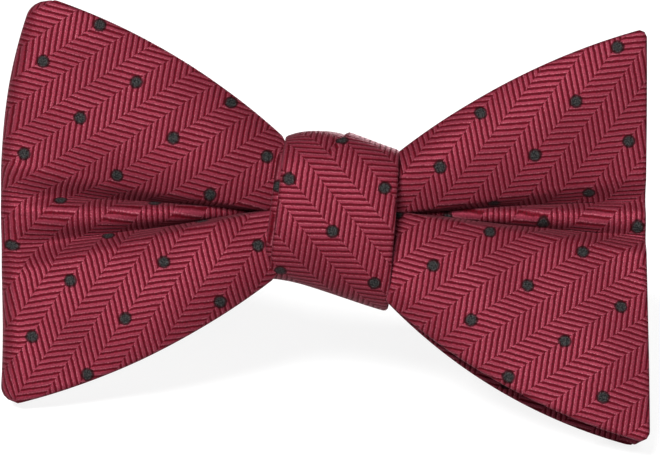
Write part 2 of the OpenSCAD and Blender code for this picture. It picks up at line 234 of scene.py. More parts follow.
class Wing:
    """One wing's outline, its pleats and how the cloth lies on it.

    The cloth is flat at the outer end, round the pivot, and each half of the wing is turned away
    from the middle by fan degrees. What that leaves over towards the knot is taken up by two
    valleys with a ridge between them, which run from the pivot to the slit at the knot.

    Pairs run from lower to upper. root holds the height of each edge at the knot, low and high are
    the outer corners, corners holds their radii, and bulges bow the lower, upper and outer edge.
    valleys: half the width at the knot and at the pivot, and the power between them. rolls: how far
    an edge falls back at the knot and at the end, and its power. tilts lean a lobe back with each
    step from the middle. shapes: how far across a valley its wall begins and its bottom lies.
    """

    def __init__(self, side, pivot, slit, root, low, high, bulges, corners, fan, columns, shift,
                 valleys, rolls, tilts, shapes):
        self.side, self.corners = side, corners
        self.pivot, self.slit = np.array(pivot), np.array(slit)
        self.root, self.low, self.high = root, low, high
        self.bulges, self.fan, self.columns = bulges, fan, columns
        self.shift = np.array(shift)
        self.valleys, self.rolls, self.tilts, self.shapes = valleys, rolls, tilts, shapes
        way = self.slit - self.pivot
        self.length = np.hypot(*way)
        self.along = way / self.length
        self.up = np.array([-self.along[1], self.along[0]]) * (1 if self.along[0] > 0 else -1)
        self._solve_pleats()
        edges = [self.axes(self.edge(np.linspace(0, 1, 60), k)) for k in (0, 1)]
        self.edge_r = [e[0][::-1] for e in edges]
        self.edge_h = [e[1][::-1] for e in edges]

    def edge(self, t, upper, inset=0.0):
        """The wing's lower or upper edge from the knot outwards."""
        s = self.side
        x, z = self.high if upper else self.low
        sign = 1 if upper else -1
        a = [s * KNOT_HALF, self.root[upper] - sign * inset]
        b = [s * (x - inset), z - sign * inset]
        return curve(a, b, -self.bulges[upper] * sign * s, t)

    def end(self, v, inset=0.0):
        """The wing's outer edge from its lower corner up."""
        s = self.side
        a = [s * (self.low[0] - inset), self.low[1] + inset]
        b = [s * (self.high[0] - inset), self.high[1] - inset]
        uneven = 1 + 0.9 * (2 * np.asarray(v, float) - 1)
        return curve(a, b, self.bulges[2] * s * uneven, v)

    def patch(self, rows, cols, fold_r):
        """Points in X and Z inside the outline, from the knot out and from the lower edge up.

        They leave room for half the cloth's thickness, and at the end for a fold of radius fold_r.
        """
        t, v = np.meshgrid(np.linspace(0, 1, rows), np.linspace(0, 1, cols), indexing="ij")
        t, v = self.rounded(t, v)
        zero = np.zeros_like(t)
        inset = CLOTH / 2
        shrink = np.array([self.side * fold_r, 0.0])
        low, high = (self.edge(t, k, inset) - shrink * t[..., None] for k in (0, 1))
        root_low, root_high = (self.edge(zero, k, inset) for k in (0, 1))
        end = self.end(v, inset) - shrink
        end_low, end_high = (self.end(zero + k, inset) - shrink for k in (0, 1))
        t, v = t[..., None], v[..., None]
        root = (1 - v) * root_low + v * root_high
        corners = (1 - t) * root + t * ((1 - v) * end_low + v * end_high)
        return (1 - v) * low + v * high + (1 - t) * root + t * end - corners

    def rounded(self, t, v):
        """Moves points in the two outer corners inwards, so that each corner is a quarter circle."""
        long = self.side * (self.end(np.array(0.5))[0] - self.side * KNOT_HALF)
        tall = self.high[1] - self.low[1]
        for upper, radius in enumerate(self.corners):
            away = (1 - v if upper else v) * tall
            q, w = radius - (1 - t) * long, radius - away
            inside = (q > 0) & (w > 0)
            pull = np.where(inside, np.maximum(q, w) / np.maximum(np.hypot(q, w), 1e-9), 1)
            t = np.where(inside, 1 - (radius - q * pull) / long, t)
            moved = (radius - w * pull) / tall
            v = np.where(inside, 1 - moved if upper else moved, v)
        return t, v

    def axes(self, p):
        """Distance from the pivot along the fold, and height above it."""
        d = p - self.pivot
        return d @ self.along, d @ self.up

    def width(self, f, upper):
        """Width of a valley at a share f of the way from the pivot to the knot."""
        near, far, power = self.valleys[upper]
        return 2 * (near + (far - near) * np.clip(1 - f, 0, 1.1) ** power)

    def crest(self, f):
        """How far the ridge lies below the lobes."""
        return 0.5 + 3.8 * smooth((f - 0.52) / 0.40)

    def section(self, u, depth, crest, upper):
        """Depth of a valley across its width: the ridge's crest at u = 0 and the lobe at u = 1."""
        shoulder, bottom = self.shapes[upper]
        down = smooth((u - shoulder) / (bottom - shoulder))
        rise = smooth((u - bottom) / (1 - bottom))
        return depth * (down - rise) + crest * (1 - smooth(u))

    def _solve_pleats(self):
        """Finds the depth at which each valley takes up the cloth left over there."""
        self.f = np.linspace(-0.15, 1.2, 28)
        self.depth = {}
        u = np.linspace(0, 1, 120)
        for upper in (0, 1):
            found = []
            for f in self.f:
                width = float(self.width(f, upper))
                spare = max(f, 0) * self.length * math.sin(math.radians(self.fan))
                low, high = 0.0, DEEPEST - float(self.crest(f))
                for _ in range(24):
                    depth = (low + high) / 2
                    y = self.section(u, depth, float(self.crest(f)), upper)
                    size = np.hypot(np.diff(u) * width, np.diff(y)).sum()
                    low, high = (depth, high) if size < width + spare else (low, depth)
                found.append(low)
            self.depth[upper] = np.array(found)

    def relief(self, p):
        """Depth of the cloth behind the lobes' tops at points in X and Z."""
        r, h = self.axes(p)
        f = r / self.length
        out = np.zeros(r.shape)
        for upper, part in enumerate((h < 0, h >= 0)):
            width = self.width(f, upper)
            u = np.abs(h) / width
            depth = np.interp(f, self.f, self.depth[upper])
            edge = np.abs(np.interp(r, self.edge_r[upper], self.edge_h[upper]))
            k = np.clip(np.abs(h) / np.maximum(edge, 1), 0, 1.1)
            at_knot, at_end, power = self.rolls[upper]
            rolled = (at_end + (at_knot - at_end) * np.clip(f, 0, 1.2) ** 1.5) * k ** power
            rolled = rolled + self.tilts[upper] * np.abs(h)
            beside = np.exp(-np.maximum(np.abs(h) - width, 0) / 4.4)
            rolled = rolled + ROLL_IN * smooth(f / 0.55) * beside
            out = np.where(part, self.section(u, depth, self.crest(f), upper) + rolled, out)
        return out

    def cloth(self, p, y):
        """Cloth coordinates, along and across the columns of the weave, of rows of points."""
        r, h = self.axes(p)
        f = r / self.length
        along, across = np.zeros(r.shape), np.zeros(r.shape)
        fan = math.radians(self.fan)
        for i in range(len(r)):
            step = np.sqrt(np.diff(h[i]) ** 2 + np.diff(y[i]) ** 2)
            run = np.concatenate([[0], np.cumsum(step)])
            run -= np.interp(0, h[i], run)
            walked, away = np.abs(run), np.abs(h[i])
            for upper, part in enumerate((h[i] < 0, h[i] >= 0)):
                sign = 1 if upper else -1
                width = float(self.width(np.median(f[i]), upper))
                # where the flat lobe begins, and how much cloth lies between it and the ridge
                at_edge = max(abs(float(np.interp(sign * width, h[i], run))), 1e-6)
                r_edge = float(np.interp(sign * width, h[i], r[i]))
                b_edge = r_edge * math.sin(fan) + width * math.cos(fan)
                inside = away < width
                share = walked / at_edge
                t = np.clip(share, 0, 1)
                flat = r[i] * math.cos(fan) - away * math.sin(fan)
                a = np.where(inside, r[i] * (1 - t * t) + flat * t * t,
                             flat - (walked - at_edge - (away - width)) * math.sin(fan))
                b = np.where(inside, share * b_edge,
                             b_edge + (walked - at_edge) * math.cos(fan) + (r[i] - r_edge) * math.sin(fan))
                along[i] = np.where(part, a, along[i])
                across[i] = np.where(part, sign * b, across[i])
        flat = along[..., None] * self.along + across[..., None] * self.up
        return turn(flat, self.columns) + self.shift


LEFT_PLEATS = dict(
    side=-1, pivot=(-59.2, -3.9), slit=(-11.0, 0.9), fan=10.9, columns=48.4, shift=(2.5, 28.2),
    valleys=((0.2, 5.6, 1.05), (0.2, 5.0, 0.95)), rolls=((3.4, 0.8, 5), (5.0, 1.2, 3)),
    tilts=(-0.08, -0.06), shapes=((0.04, 0.50), (0.08, 0.42)))
RIGHT_PLEATS = dict(
    side=1, pivot=(63.2, 4.6), slit=(10.7, 2.1), fan=9.4, columns=46.9, shift=(7.05, 18.6),
    valleys=((0.2, 4.0, 0.95), (0.2, 5.0, 1.0)), rolls=((3.2, 0.6, 5), (5.0, 1.6, 3.5)),
    tilts=(-0.26, -0.12), shapes=((0.04, 0.50), (0.06, 0.38)))

LEFT = Wing(**LEFT_PLEATS, root=(-11.8, 14.6), low=(57.7, -37.0), high=(57.2, 36.0),
            bulges=(2.6, 2.5, 3.0), corners=(0.2, 1.0))
RIGHT_WING = Wing(**RIGHT_PLEATS, root=(-14.4, 13.2), low=(58.7, -35.6), high=(53.4, 38.2),
                  bulges=(3.0, 2.4, 0.0), corners=(1.2, 0.8))
REAR_LEFT = Wing(**LEFT_PLEATS, root=(-11.0, 12.6), low=(56.0, -36.4), high=(54.0, 33.5),
                 bulges=(2.6, 2.5, 0.0), corners=(2.0, 2.0))
REAR_RIGHT = Wing(**RIGHT_PLEATS, root=(-14.6, 12.6), low=(59.2, -37.2), high=(52.4, 36.4),
                  bulges=(3.6, 1.5, 0.0), corners=(1.4, 1.0))


def even_rows(p, y, count):
    """Takes rows of points again at even steps of their own length, so that flanks get their share."""
    lines = np.array([even_line(np.column_stack(row), count)[0] for row in zip(p, y)])
    return lines[..., :2], lines[..., 2]


def ripple(p, seed, size=14.0, height=0.35):
    """A slow, soft unevenness of hand-made cloth, the same each run."""
    rng = np.random.default_rng(seed)
    out = np.zeros(p.shape[:-1])
    for _ in range(7):
        angle, phase = rng.uniform(0, 2 * math.pi, 2)
        wave = size * rng.uniform(0.8, 1.8)
        way = np.array([math.cos(angle), math.sin(angle)])
        out += np.sin(p @ way * 2 * math.pi / wave + phase)
    return out * height / 3


def stack(p, y):
    """Points in X, Y and Z from points in X and Z and their depths."""
    return np.stack([p[..., 0], y, p[..., 1]], -1)


def to_knot(p, y, wing, level):
    """A layer's points and cloth coordinates, with rows that carry it on to the middle of the knot."""
    uv = wing.cloth(p, y)
    middle = wing.slit[1]
    root_p, root_y = [], []
    for k in range(ROOT_ROWS, 0, -1):
        t = k / ROOT_ROWS
        pinch = smooth(t ** 0.45)
        x = p[0, :, 0] * (1 - t)
        z = middle * (1 - t) + 0.5 * t + (p[0, :, 1] - middle) * (1 + (WAIST - 1) * pinch)
        root_p.append(np.column_stack([x, z]))
        root_y.append(level + (y[0] - level) * (1 - 0.75 * pinch))
    step = (uv[0] - uv[1]) / np.maximum(np.linalg.norm(p[0] - p[1], axis=-1), 1e-6)[:, None]
    size = np.linalg.norm(np.array(root_p) - p[:1], axis=-1)
    root_uv = uv[:1] + step[None] * size[..., None]
    return stack(np.concatenate([root_p, p]), np.concatenate([root_y, y])), np.concatenate([root_uv, uv])


def fold_over(wing, front, uv, back_y, radius):
    """Carries a front layer round a fold at the wing's end and back behind itself."""
    last = front[-1]
    away = (uv[-1] - uv[-2]) / np.linalg.norm(front[-1] - front[-2], axis=-1)[:, None]
    from_end = np.minimum(last[:, 2] - last[:, 2].min(), last[:, 2].max() - last[:, 2])
    bulge = np.sqrt(1 - (1 - np.clip(from_end / (0.9 * radius), 0, 1)) ** 2)
    fold, fold_uv = [], []
    for angle in np.linspace(0, math.pi, 12)[1:-1]:
        w = (1 - math.cos(angle)) / 2
        y = last[:, 1] * (1 - w) + back_y[-1] * w
        x = last[:, 0] + wing.side * radius * math.sin(angle) * bulge
        fold.append(np.column_stack([x, y, last[:, 2]]))
        fold_uv.append(uv[-1] + away * radius * angle)
    back = front[::-1].copy()
    back[..., 1] = back_y[::-1]
    walk = np.linalg.norm(np.diff(back, axis=0), axis=-1)
    walk = np.concatenate([np.zeros((1, walk.shape[1])), np.cumsum(walk, axis=0)])
    back_uv = uv[-1] + away * radius * math.pi + away * walk[..., None]
    return np.concatenate([front, np.array(fold), back]), np.concatenate([uv, np.array(fold_uv), back_uv])


def front_depth(wing, p, level):
    """Y of a front layer's middle: puffed forward between the knot and the end."""
    r, _ = wing.axes(p)
    f = np.clip(r / wing.length, 0, 1)
    puff = 1.3 * np.sin(math.pi * f ** 0.9)
    at_knot = 1.1 * smooth((f - 0.75) / 0.25)
    depth = level - puff + at_knot + wing.relief(p) + ripple(p, 3 + wing.side)
    return np.minimum(depth, FARTHEST_BACK)


def layer(wing, level, rows, fold_r=0.0):
    """One front layer of a wing, from the middle of the knot outwards, with its cloth coordinates."""
    p = wing.patch(rows, 700, fold_r)
    p, y = even_rows(p, front_depth(wing, p, level), FRONT_COLS)
    return to_knot(p, y, wing, level + 1.5)


def loop(wing, level, back_level, rows):
    """A folded loop: front layer, fold and back layer."""
    radius = (back_level - level) / 2
    front, uv = layer(wing, level, rows, radius)
    sunk = front[..., 1] - level
    back_y = np.maximum(back_level + 0.3 * np.maximum(sunk, 0), front[..., 1] + LOOP_GAP)
    closed = np.abs(np.linspace(-1, 1, FRONT_COLS)) ** 8
    back_y = back_y + closed * (front[..., 1] + LOOP_GAP - back_y)
    return fold_over(wing, front, uv, back_y, radius)


def front_layer_y(p):
    """Y of the rearmost layer of the front bow at points in X and Z."""
    left = np.maximum(LAYERS["front_back"] + 0.3 * LEFT.relief(p),
                      front_depth(LEFT, p, LAYERS["front"]) + LOOP_GAP)
    right = front_depth(RIGHT_WING, p, LAYERS["blade"])
    return np.where(p[..., 0] < 0, left, right)


def front_grids():
    """The front bow: a folded loop on the left, and a flared end on the right."""
    left = loop(LEFT, LAYERS["front"], LAYERS["front_back"], 70)
    mid, uv = layer(RIGHT_WING, LAYERS["blade"], 74)
    return left, (mid[:, ::-1], uv[:, ::-1])


def rear_grids():
    """The rear bow: a flared end on the left, and a flattened loop on the right."""
    grids = []
    for wing, folded in ((REAR_LEFT, False), (REAR_RIGHT, True)):
        p = wing.patch(46, 300, REAR_FOLD_R if folded else 0)
        y = np.maximum(LAYERS["rear"], front_layer_y(p) + CLOTH + 0.15)
        p, y = even_rows(p, y, 90)
        front, uv = to_knot(p, y, wing, LAYERS["rear"])
        if folded:
            back_y = np.maximum(LAYERS["rear_back"], front[..., 1] + CLOTH + 0.1)
            front, uv = fold_over(wing, front, uv, back_y, REAR_FOLD_R)
        grids.append((front[:, ::-1], uv[:, ::-1]) if wing.side > 0 else (front, uv))
    return grids


def shells(name, grids):
    """The silk of a bow, one closed shell for each wing."""
    build = Build()
    for mid, uv in grids:
        thick_sheet(build, mid, uv, CLOTH)
    return build.done(name)


def linings(name, grids, rows):
    """Canvas inside the layer of each wing that faces forward."""
    build = Build()
    for mid, uv in grids:
        mid, uv = mid[2:rows:2, 4:-4:3], uv[2:rows:2, 4:-4:3]
        thick_sheet(build, mid, uv, CANVAS_T)
    return build.done(name)


# ---- knot ----

# the knot's upper and lower edge, seen from the front
KNOT_TOP = [(-10.9, 14.2), (-4.0, 16.2), (2.0, 15.6), (10.9, 13.4)]
KNOT_BOTTOM = [(-10.9, -11.5), (-3.0, -12.5), (3.7, -14.2), (10.9, -15.8)]
KNOT_FRONT, KNOT_MIDDLE, KNOT_BACK = -14.0, -4.0, 3.2
WRAP_T = 1.5
UNDER_WRAP_T = 1.2          # the turn of the strip that shows at the knot's left
KNOT_BIAS = -46.5           # way of the weave's columns on the knot, in degrees
KNOT_DOT = (1.43, -13.46)   # a dot near the knot's middle, in cloth coordinates


def through(points, x):
    """A cubic through four points."""
    xs, ys = zip(*points)
    return np.polyval(np.polyfit(xs, ys, 3), x)


def knot_loop(x_left, x_right, inset, turns, rows=150, cols=60, tuck=0.0):
    """The wrap's middle surface: a strip that runs from the back, under, up the front and over."""
    u = np.linspace(0, 1, cols)
    psi = np.radians(np.linspace(*turns, 400))[:, None]
    c, s = np.cos(psi), -np.sin(psi)
    x = np.broadcast_to(u * (x_right - x_left) + x_left, (400, cols))
    top = through(KNOT_TOP, x) - WRAP_T / 2 - inset
    low = through(KNOT_BOTTOM, x) + WRAP_T / 2 + inset
    power = np.where(c < 0, 2.7, 3.6)                   # rounder in front, flatter behind
    flat = np.sign(c) * np.abs(c) ** (2 / power)
    tall = np.sign(s) * np.abs(s) ** (2 / power)
    pillow = 0.55 * (1 - (2 * u - 1) ** 4)
    front_reach = KNOT_MIDDLE - KNOT_FRONT - 0.5 + pillow - inset
    back_reach = KNOT_BACK - KNOT_MIDDLE - inset
    # the strip's first end lies under its last one, behind the knot
    under = 1.75 * (1 - smooth((psi - math.radians(20)) / math.radians(50)))
    y = KNOT_MIDDLE + flat * np.where(c < 0, front_reach, back_reach - under)
    z = (top + low) / 2 + tall * (top - low) / 2
    x = x + 0.045 * z * smooth((x_right - x) / (x_right - x_left)) * (x_left < -9)
    points = np.stack([x, y, z], -1)
    # even steps, and the length of cloth from the middle of the front
    out, run_out = [], []
    for j in range(cols):
        line = points[:, j]
        run = run_along(line)
        even, at = even_line(line, rows)
        out.append(even)
        front = np.flatnonzero((line[:-1, 2] < 0) & (line[1:, 2] >= 0) & (line[1:, 1] < KNOT_MIDDLE))
        at_front = front[0]
        low_z, high_z = line[at_front, 2], line[at_front + 1, 2]
        step = run[at_front + 1] - run[at_front]
        run_out.append(at - run[at_front] - step * low_z / (low_z - high_z))
    grid = np.stack(out, 1)
    run = np.stack(run_out, 1)
    if tuck:
        normal = grid_normals(grid)
        grid = grid + normal * (tuck * tuck_relief(grid))[..., None]
        grid = grid + normal * 0.16 * ripple(np.stack([grid[..., 0], run], -1), 11, 9, 1.0)[..., None]
    uv = turn(np.stack([grid[..., 0], run], -1), KNOT_BIAS) - np.array(KNOT_DOT)
    return grid, uv


def tuck_relief(grid):
    """A small tuck on top of the knot, running down to the left. Its left side lies over its right."""
    x, y, z = grid[..., 0], grid[..., 1], grid[..., 2]
    across = (x - 1.6) - 0.95 * (z - 15.5)
    fade = smooth((z - 9.5) / 4.5) * smooth((1.5 - y) / 4)
    over = 0.42 * np.exp(np.minimum(across, 0) / 3.6)
    under = -0.32 * np.exp(-np.maximum(across, 0) / 2.4)
    return (over + (under - over) * smooth((across + 0.3) / 0.6)) * fade


def knot():
    """The wrap, and the turn of the same strip that lies under it and shows at its left."""
    build = Build()
    mid, uv = knot_loop(-9.95, 10.05, 0.0, (-22, 382), tuck=1.0)
    thick_sheet(build, mid[:, ::-1], uv[:, ::-1], WRAP_T)
    mid, uv = knot_loop(-11.2, -8.6, 1.35, (30, 340), cols=12)
    thick_sheet(build, mid[:, ::-1], uv[:, ::-1] + np.array([0, 2.1]), UNDER_WRAP_T)
    return build.done("knot_silk")


def knot_lining():
    """Canvas inside the front of the wrap."""
    build = Build()
    mid, uv = knot_loop(-8.4, 9.4, 1.7, (135, 225), rows=24, cols=20)
    thick_sheet(build, mid[:, ::-1], uv[:, ::-1], 0.7)
    return build.done("knot_canvas")


# ---- neckband ----

BAR_X = 13.5                # from the middle of the back to the bars of the eye and the hook
BAR_AT = 180 - math.degrees(math.asin(BAR_X / RING_R))
BAR_R = 0.86                # the bars with the gap round them
FLEX_AT = 38.0              # where a side of the band bends open, in degrees from the knot
FLEX_REACH = 9.0            # half the length of cloth that bends there
SLIDER_AT = 140.0
SLIDER_BAR_R = 60.86        # ring radius of the slider's middle bar
TURNED = 1.0                # the strap's thickness where it wraps a bar
HEM = 0.5                   # the band's cloth stops this far inside its edges
CANVAS_HEM = 1.2


def ring_point(radius, angle):
    """X and Y at an angle round the neck, in degrees from the knot towards the viewer's right."""
    a = np.radians(angle)
    return np.stack([radius * np.sin(a), RING_R - radius * np.cos(a)], -1)


def arc_angle(length):
    """Degrees round the ring that a length of strap takes."""
    return math.degrees(length / RING_R)


def round_bar(radius, angle, reach, first, last, count=14):
    """Points round a bar at a ring radius and angle. 0 points at the neck, 90 on round the ring."""
    turn_by = np.radians(np.linspace(first, last, count))
    centre = ring_point(radius, angle)
    inward = unit(ring_point(0, angle) - centre)
    onward = np.array([math.cos(math.radians(angle)), math.sin(math.radians(angle))])
    return centre + reach * (np.cos(turn_by)[:, None] * inward + np.sin(turn_by)[:, None] * onward)


def strap_to_bar(tail):
    """The strap's path from the knot to the bar at its end, round it, and back outside itself."""
    reach = BAR_R + TURNED / 2
    angle = np.linspace(0, BAR_AT, 150)
    ease = smooth((angle - (BAR_AT - arc_angle(11))) / arc_angle(11))
    main = ring_point(RING_R - reach * ease, angle)
    round_it = round_bar(RING_R, BAR_AT, reach, 6, 174)
    back = np.linspace(BAR_AT, BAR_AT - arc_angle(tail), 24)
    lift = smooth((BAR_AT - back) / arc_angle(tail))
    outside = ring_point(RING_R + reach + (STRAP_T / 2 + TURNED / 2 + 0.02 - reach) * lift, back)
    return np.concatenate([main, round_it, outside[1:]]), len(main)


def strip(build, path, half, thickness, shift=(0.0, 0.0), cols=15):
    """A flat strap along a path in X and Y, standing on its edge, with cloth coordinates at a bias."""
    run = run_along(path)
    z = half * np.sin(np.linspace(-math.pi / 2, math.pi / 2, cols))
    mid = np.empty((len(path), cols, 3))
    mid[..., :2] = path[:, None]
    mid[..., 2] = z
    flat = np.stack(np.broadcast_arrays(run[:, None], z[None]), -1)
    thick_sheet(build, mid, turn(flat, 45) + np.array(shift), thickness)


def bend_at_flex(piece, side):
    """Bakes the piece's placement into its mesh. The ends of the stretch where its side of the band opens
    are worked out, but the cloth is not bent there.
    """
    a = math.radians(FLEX_AT)
    middle = ring_point(RING_R, side * FLEX_AT)
    way = np.array([side * math.cos(a), math.sin(a)]) * FLEX_REACH
    start, end = (place((*(middle + k * way), 0.0)) for k in (-1, 1))
    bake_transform(piece)
    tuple(start)
    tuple(end)


def mirrored(path, side):
    """A path on the viewer's right for side 1, and its mirror image for side -1."""
    return path * np.array([side, 1.0])


def band_side(side):
    """Silk of one half of the band, with its end turned back round the eye or the hook."""
    name = "left" if side < 0 else "right"
    build = Build()
    path, main = strap_to_bar(13.0 if side < 0 else 3.0)
    thickness = np.full((len(path), 1), TURNED)
    thickness[:main, 0] = STRAP_T + (TURNED - STRAP_T) * smooth((np.arange(main) - main + 16) / 12)
    path = mirrored(path, side)
    if side < 0:
        path, thickness = path[::-1], thickness[::-1]
    strip(build, path, STRAP_H / 2 - HEM, thickness, (3.0 * side, 5.0))
    piece = build.done("band_%s_silk" % name)
    bend_at_flex(piece, side)
    return piece


def band_lining(side):
    """Canvas inside one half of the band."""
    name = "left" if side < 0 else "right"
    build = Build()
    path = mirrored(ring_point(RING_R, np.linspace(3, BAR_AT - 18, 70)), side)
    strip(build, path[::side], STRAP_H / 2 - CANVAS_HEM, CANVAS_T)
    piece = build.done("band_%s_canvas" % name)
    bend_at_flex(piece, side)
    return piece


def strap_return():
    """The strap's free end: from the hook's bar to the slider, round its middle bar and back."""
    reach = BAR_R + TURNED / 2
    angle = np.linspace(BAR_AT - arc_angle(1.2), SLIDER_AT, 60)
    t = (BAR_AT - angle) / (BAR_AT - SLIDER_AT)
    radius = RING_R + reach + 0.25 + (SLIDER_BAR_R - RING_R - 0.25) * smooth(t)
    top = ring_point(radius, angle)
    round_it = round_bar(SLIDER_BAR_R, SLIDER_AT, reach, 176, 364, 16)
    tail_angle = np.linspace(SLIDER_AT + 0.6, SLIDER_AT + arc_angle(8.5), 16)
    tail = ring_point(SLIDER_BAR_R - reach, tail_angle)
    path = np.concatenate([top, round_it, tail])
    build = Build()
    strip(build, path[::-1], STRAP_H / 2 - HEM, TURNED, (1.0, 2.0))
    piece = build.done("strap_end_silk")
    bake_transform(piece)
    return piece


# ---- thread ----

WAIST_THREAD_R, STITCH_R, BAR_TACK_R = 0.25, 0.20, 0.17


def cord_mesh(build, path, radius, sides=6):
    """A closed round thread along a path, with rounded ends."""
    path = np.asarray(path, float)
    along = unit(np.gradient(path, axis=0))
    pick = np.array([0.0, 0.0, 1.0]) if abs(along[0][2]) < 0.8 else np.array([1.0, 0.0, 0.0])
    side = unit(np.cross(along, pick))
    up = np.cross(side, along)
    n = len(path)
    taper = np.ones(n)
    taper[0] = taper[-1] = 0.45
    angle = np.linspace(0, 2 * math.pi, sides, endpoint=False)
    ring = np.cos(angle)[None, :, None] * side[:, None] + np.sin(angle)[None, :, None] * up[:, None]
    points = path[:, None] + ring * (radius * taper)[:, None, None]
    run = run_along(path)
    uv = np.stack(np.broadcast_arrays(run[:, None], (angle * radius)[None]), -1)
    faces = [tuple(range(sides)), tuple(reversed(range((n - 1) * sides, n * sides)))]
    for i in range(n - 1):
        for j in range(sides):
            k = (j + 1) % sides
            faces.append((i * sides + j, (i + 1) * sides + j, (i + 1) * sides + k, i * sides + k))
    build.add(points, uv, faces)


def stitch(a, b, lift, count=7):
    """A short arched stitch from a to b that stands lift proud at its middle."""
    t = np.linspace(0, 1, count)[:, None]
    a, b, lift = (np.asarray(v, float) for v in (a, b, lift))
    return a + (b - a) * t + lift * np.sin(math.pi * t)


def waist_thread():
    """Three turns that draw both bows in, under the knot."""
    build = Build()
    for number in (-1, 0, 1):
        angle = np.linspace(0.05, 2 * math.pi - 0.05, 60)
        flat = np.sign(np.cos(angle)) * np.abs(np.cos(angle)) ** 0.6
        tall = np.sign(np.sin(angle)) * np.abs(np.sin(angle)) ** 0.6
        x = number * 1.6 + 0.25 * np.sin(angle)
        cord_mesh(build, np.column_stack([x, -6.6 + 5.2 * flat, 0.5 + 9.6 * tall]), WAIST_THREAD_R)
    return build.done("waist_gathering_thread")


def knot_stitches():
    """Slanting stitches that close the wrap's turned edge behind the knot."""
    build = Build()
    for i in range(8):
        x = -8.6 + 2.45 * i
        wobble = 0.25 * math.sin(2.1 * i)
        a = (x, 3.15, -4.6 + wobble)
        b = (x + 0.9, 3.95, -2.3 + wobble)
        cord_mesh(build, stitch(a, b, (0, 0.35, 0)), STITCH_R)
    return build.done("knot_closing_stitches")


def bar_tack(name, radius, angle, side, reach=5.4):
    """A close zigzag across the strap's outer face."""
    build = Build()
    half = arc_angle(1.0)
    count = 26
    z = np.linspace(-reach, reach, count)
    swing = angle + half * (-1.0) ** np.arange(count)
    flat = mirrored(ring_point(radius + 0.12, swing), side)
    dense = np.linspace(0, count - 1, count * 3)
    path = np.column_stack([np.interp(dense, np.arange(count), c) for c in (flat[:, 0], flat[:, 1], z)])
    cord_mesh(build, path, BAR_TACK_R)
    return build.done(name)


# ---- materials ----

class Nodes:
    """Short names for building a node tree."""

    def __init__(self, name):
        self.material = bpy.data.materials.new(name)
        self.material.use_nodes = True
        self.tree = self.material.node_tree
        self.shader = self.tree.nodes["Principled BSDF"]

    def node(self, kind, **settings):
        made = self.tree.nodes.new(kind)
        for key, value in settings.items():
            setattr(made, key, value)
        return made

    def link(self, source, socket):
        self.tree.links.new(source, socket)

    def feed(self, name, source):
        """Links a socket to one of the shader's inputs."""
        self.link(source, self.shader.inputs[name])

    def fix(self, **values):
        """Plain values for the shader's inputs, with _ for each space in a name."""
        for name, value in values.items():
            self.shader.inputs[name.replace("_", " ")].default_value = value

    def math(self, operation, *values):
        made = self.node("ShaderNodeMath", operation=operation)
        for socket, value in zip(made.inputs, values):
            if isinstance(value, (int, float)):
                socket.default_value = value
            else:
                self.link(value, socket)
        return made.outputs[0]

    def blend(self, amount, a, b):
        made = self.node("ShaderNodeMix", data_type="RGBA")
        for socket, value in ((made.inputs[0], amount), (made.inputs[6], a), (made.inputs[7], b)):
            if isinstance(value, (int, float)):
                socket.default_value = value
            elif isinstance(value, tuple):
                socket.default_value = (*value, 1)
            else:
                self.link(value, socket)
        return made.outputs[2]

    def ramp(self, value, low, high, to_low=0.0, to_high=1.0):
        made = self.node("ShaderNodeMapRange", interpolation_type="SMOOTHSTEP")
        self.link(value, made.inputs[0])
        for k, number in zip((1, 2, 3, 4), (low, high, to_low, to_high)):
            made.inputs[k].default_value = number
        return made.outputs[0]

    def bump(self, height, distance):
        """Relief whose height runs from 0 to 1, with distance in millimetres."""
        made = self.node("ShaderNodeBump")
        made.inputs["Strength"].default_value = 1.0
        made.inputs["Distance"].default_value = distance / 1000
        self.link(height, made.inputs["Height"])
        self.feed("Normal", made.outputs[0])

    def cloth(self):
        """The cloth coordinates, in millimetres."""
        return self.node("ShaderNodeUVMap", uv_map="cloth").outputs[0]

    def parts(self, vector):
        """A vector's first two parts."""
        made = self.node("ShaderNodeSeparateXYZ")
        self.link(vector, made.inputs[0])
        return made.outputs[0], made.outputs[1]

    def noise_node(self, vector, scale, detail):
        made = self.node("ShaderNodeTexNoise")
        made.inputs["Scale"].default_value = scale
        made.inputs["Detail"].default_value = detail
        self.link(vector, made.inputs["Vector"])
        return made

    def noise(self, vector, scale, detail=2.0):
        return self.noise_node(vector, scale, detail).outputs["Fac"]

    def wobbled(self, vector, scale, reach):
        """Coordinates shifted by a noise, so that no thread runs quite straight."""
        noise = self.noise_node(vector, scale, 1.0)
        shifted = self.node("ShaderNodeVectorMath", operation="MULTIPLY_ADD")
        self.link(noise.outputs["Color"], shifted.inputs[0])
        shifted.inputs[1].default_value = (reach, reach, 0)
        self.link(vector, shifted.inputs[2])
        return shifted.outputs[0]


RIB = (0.078, 0.0098, 0.0172)
GROOVE = (0.036, 0.0007, 0.0026)
# painted shade: near-black for patches deep in the grooves between the ribs
GROOVE_PAINTED_SHADE = (0.009, 0.002, 0.002)
DOT_RIM = (0.003, 0.001, 0.001)
DOT_DARK, DOT_PALE = (0.003, 0.004, 0.004), (0.016, 0.0165, 0.016)
CANVAS_DARK, CANVAS_PALE = (0.52, 0.47, 0.38), (0.74, 0.69, 0.58)
THREAD_DARK, THREAD_PALE = (0.035, 0.004, 0.008), (0.16, 0.020, 0.035)
NICKEL, NICKEL_DULL = (0.66, 0.64, 0.60), (0.50, 0.48, 0.44)
CROSS_THREAD = 0.30         # from one thread to the next along a rib
CANVAS_PITCH = 0.5


def scaled(colour, amount, lift=0.0):
    return tuple(amount * c + lift for c in colour)


def from_dot(n, along, across):
    """Distance from the middle of the nearest dot."""
    squares = []
    for value in (along, across):
        wrapped = n.math("WRAP", value, DOT_PITCH / 2, -DOT_PITCH / 2)
        squares.append(n.math("MULTIPLY", wrapped, wrapped))
    return n.math("SQRT", n.math("ADD", *squares))


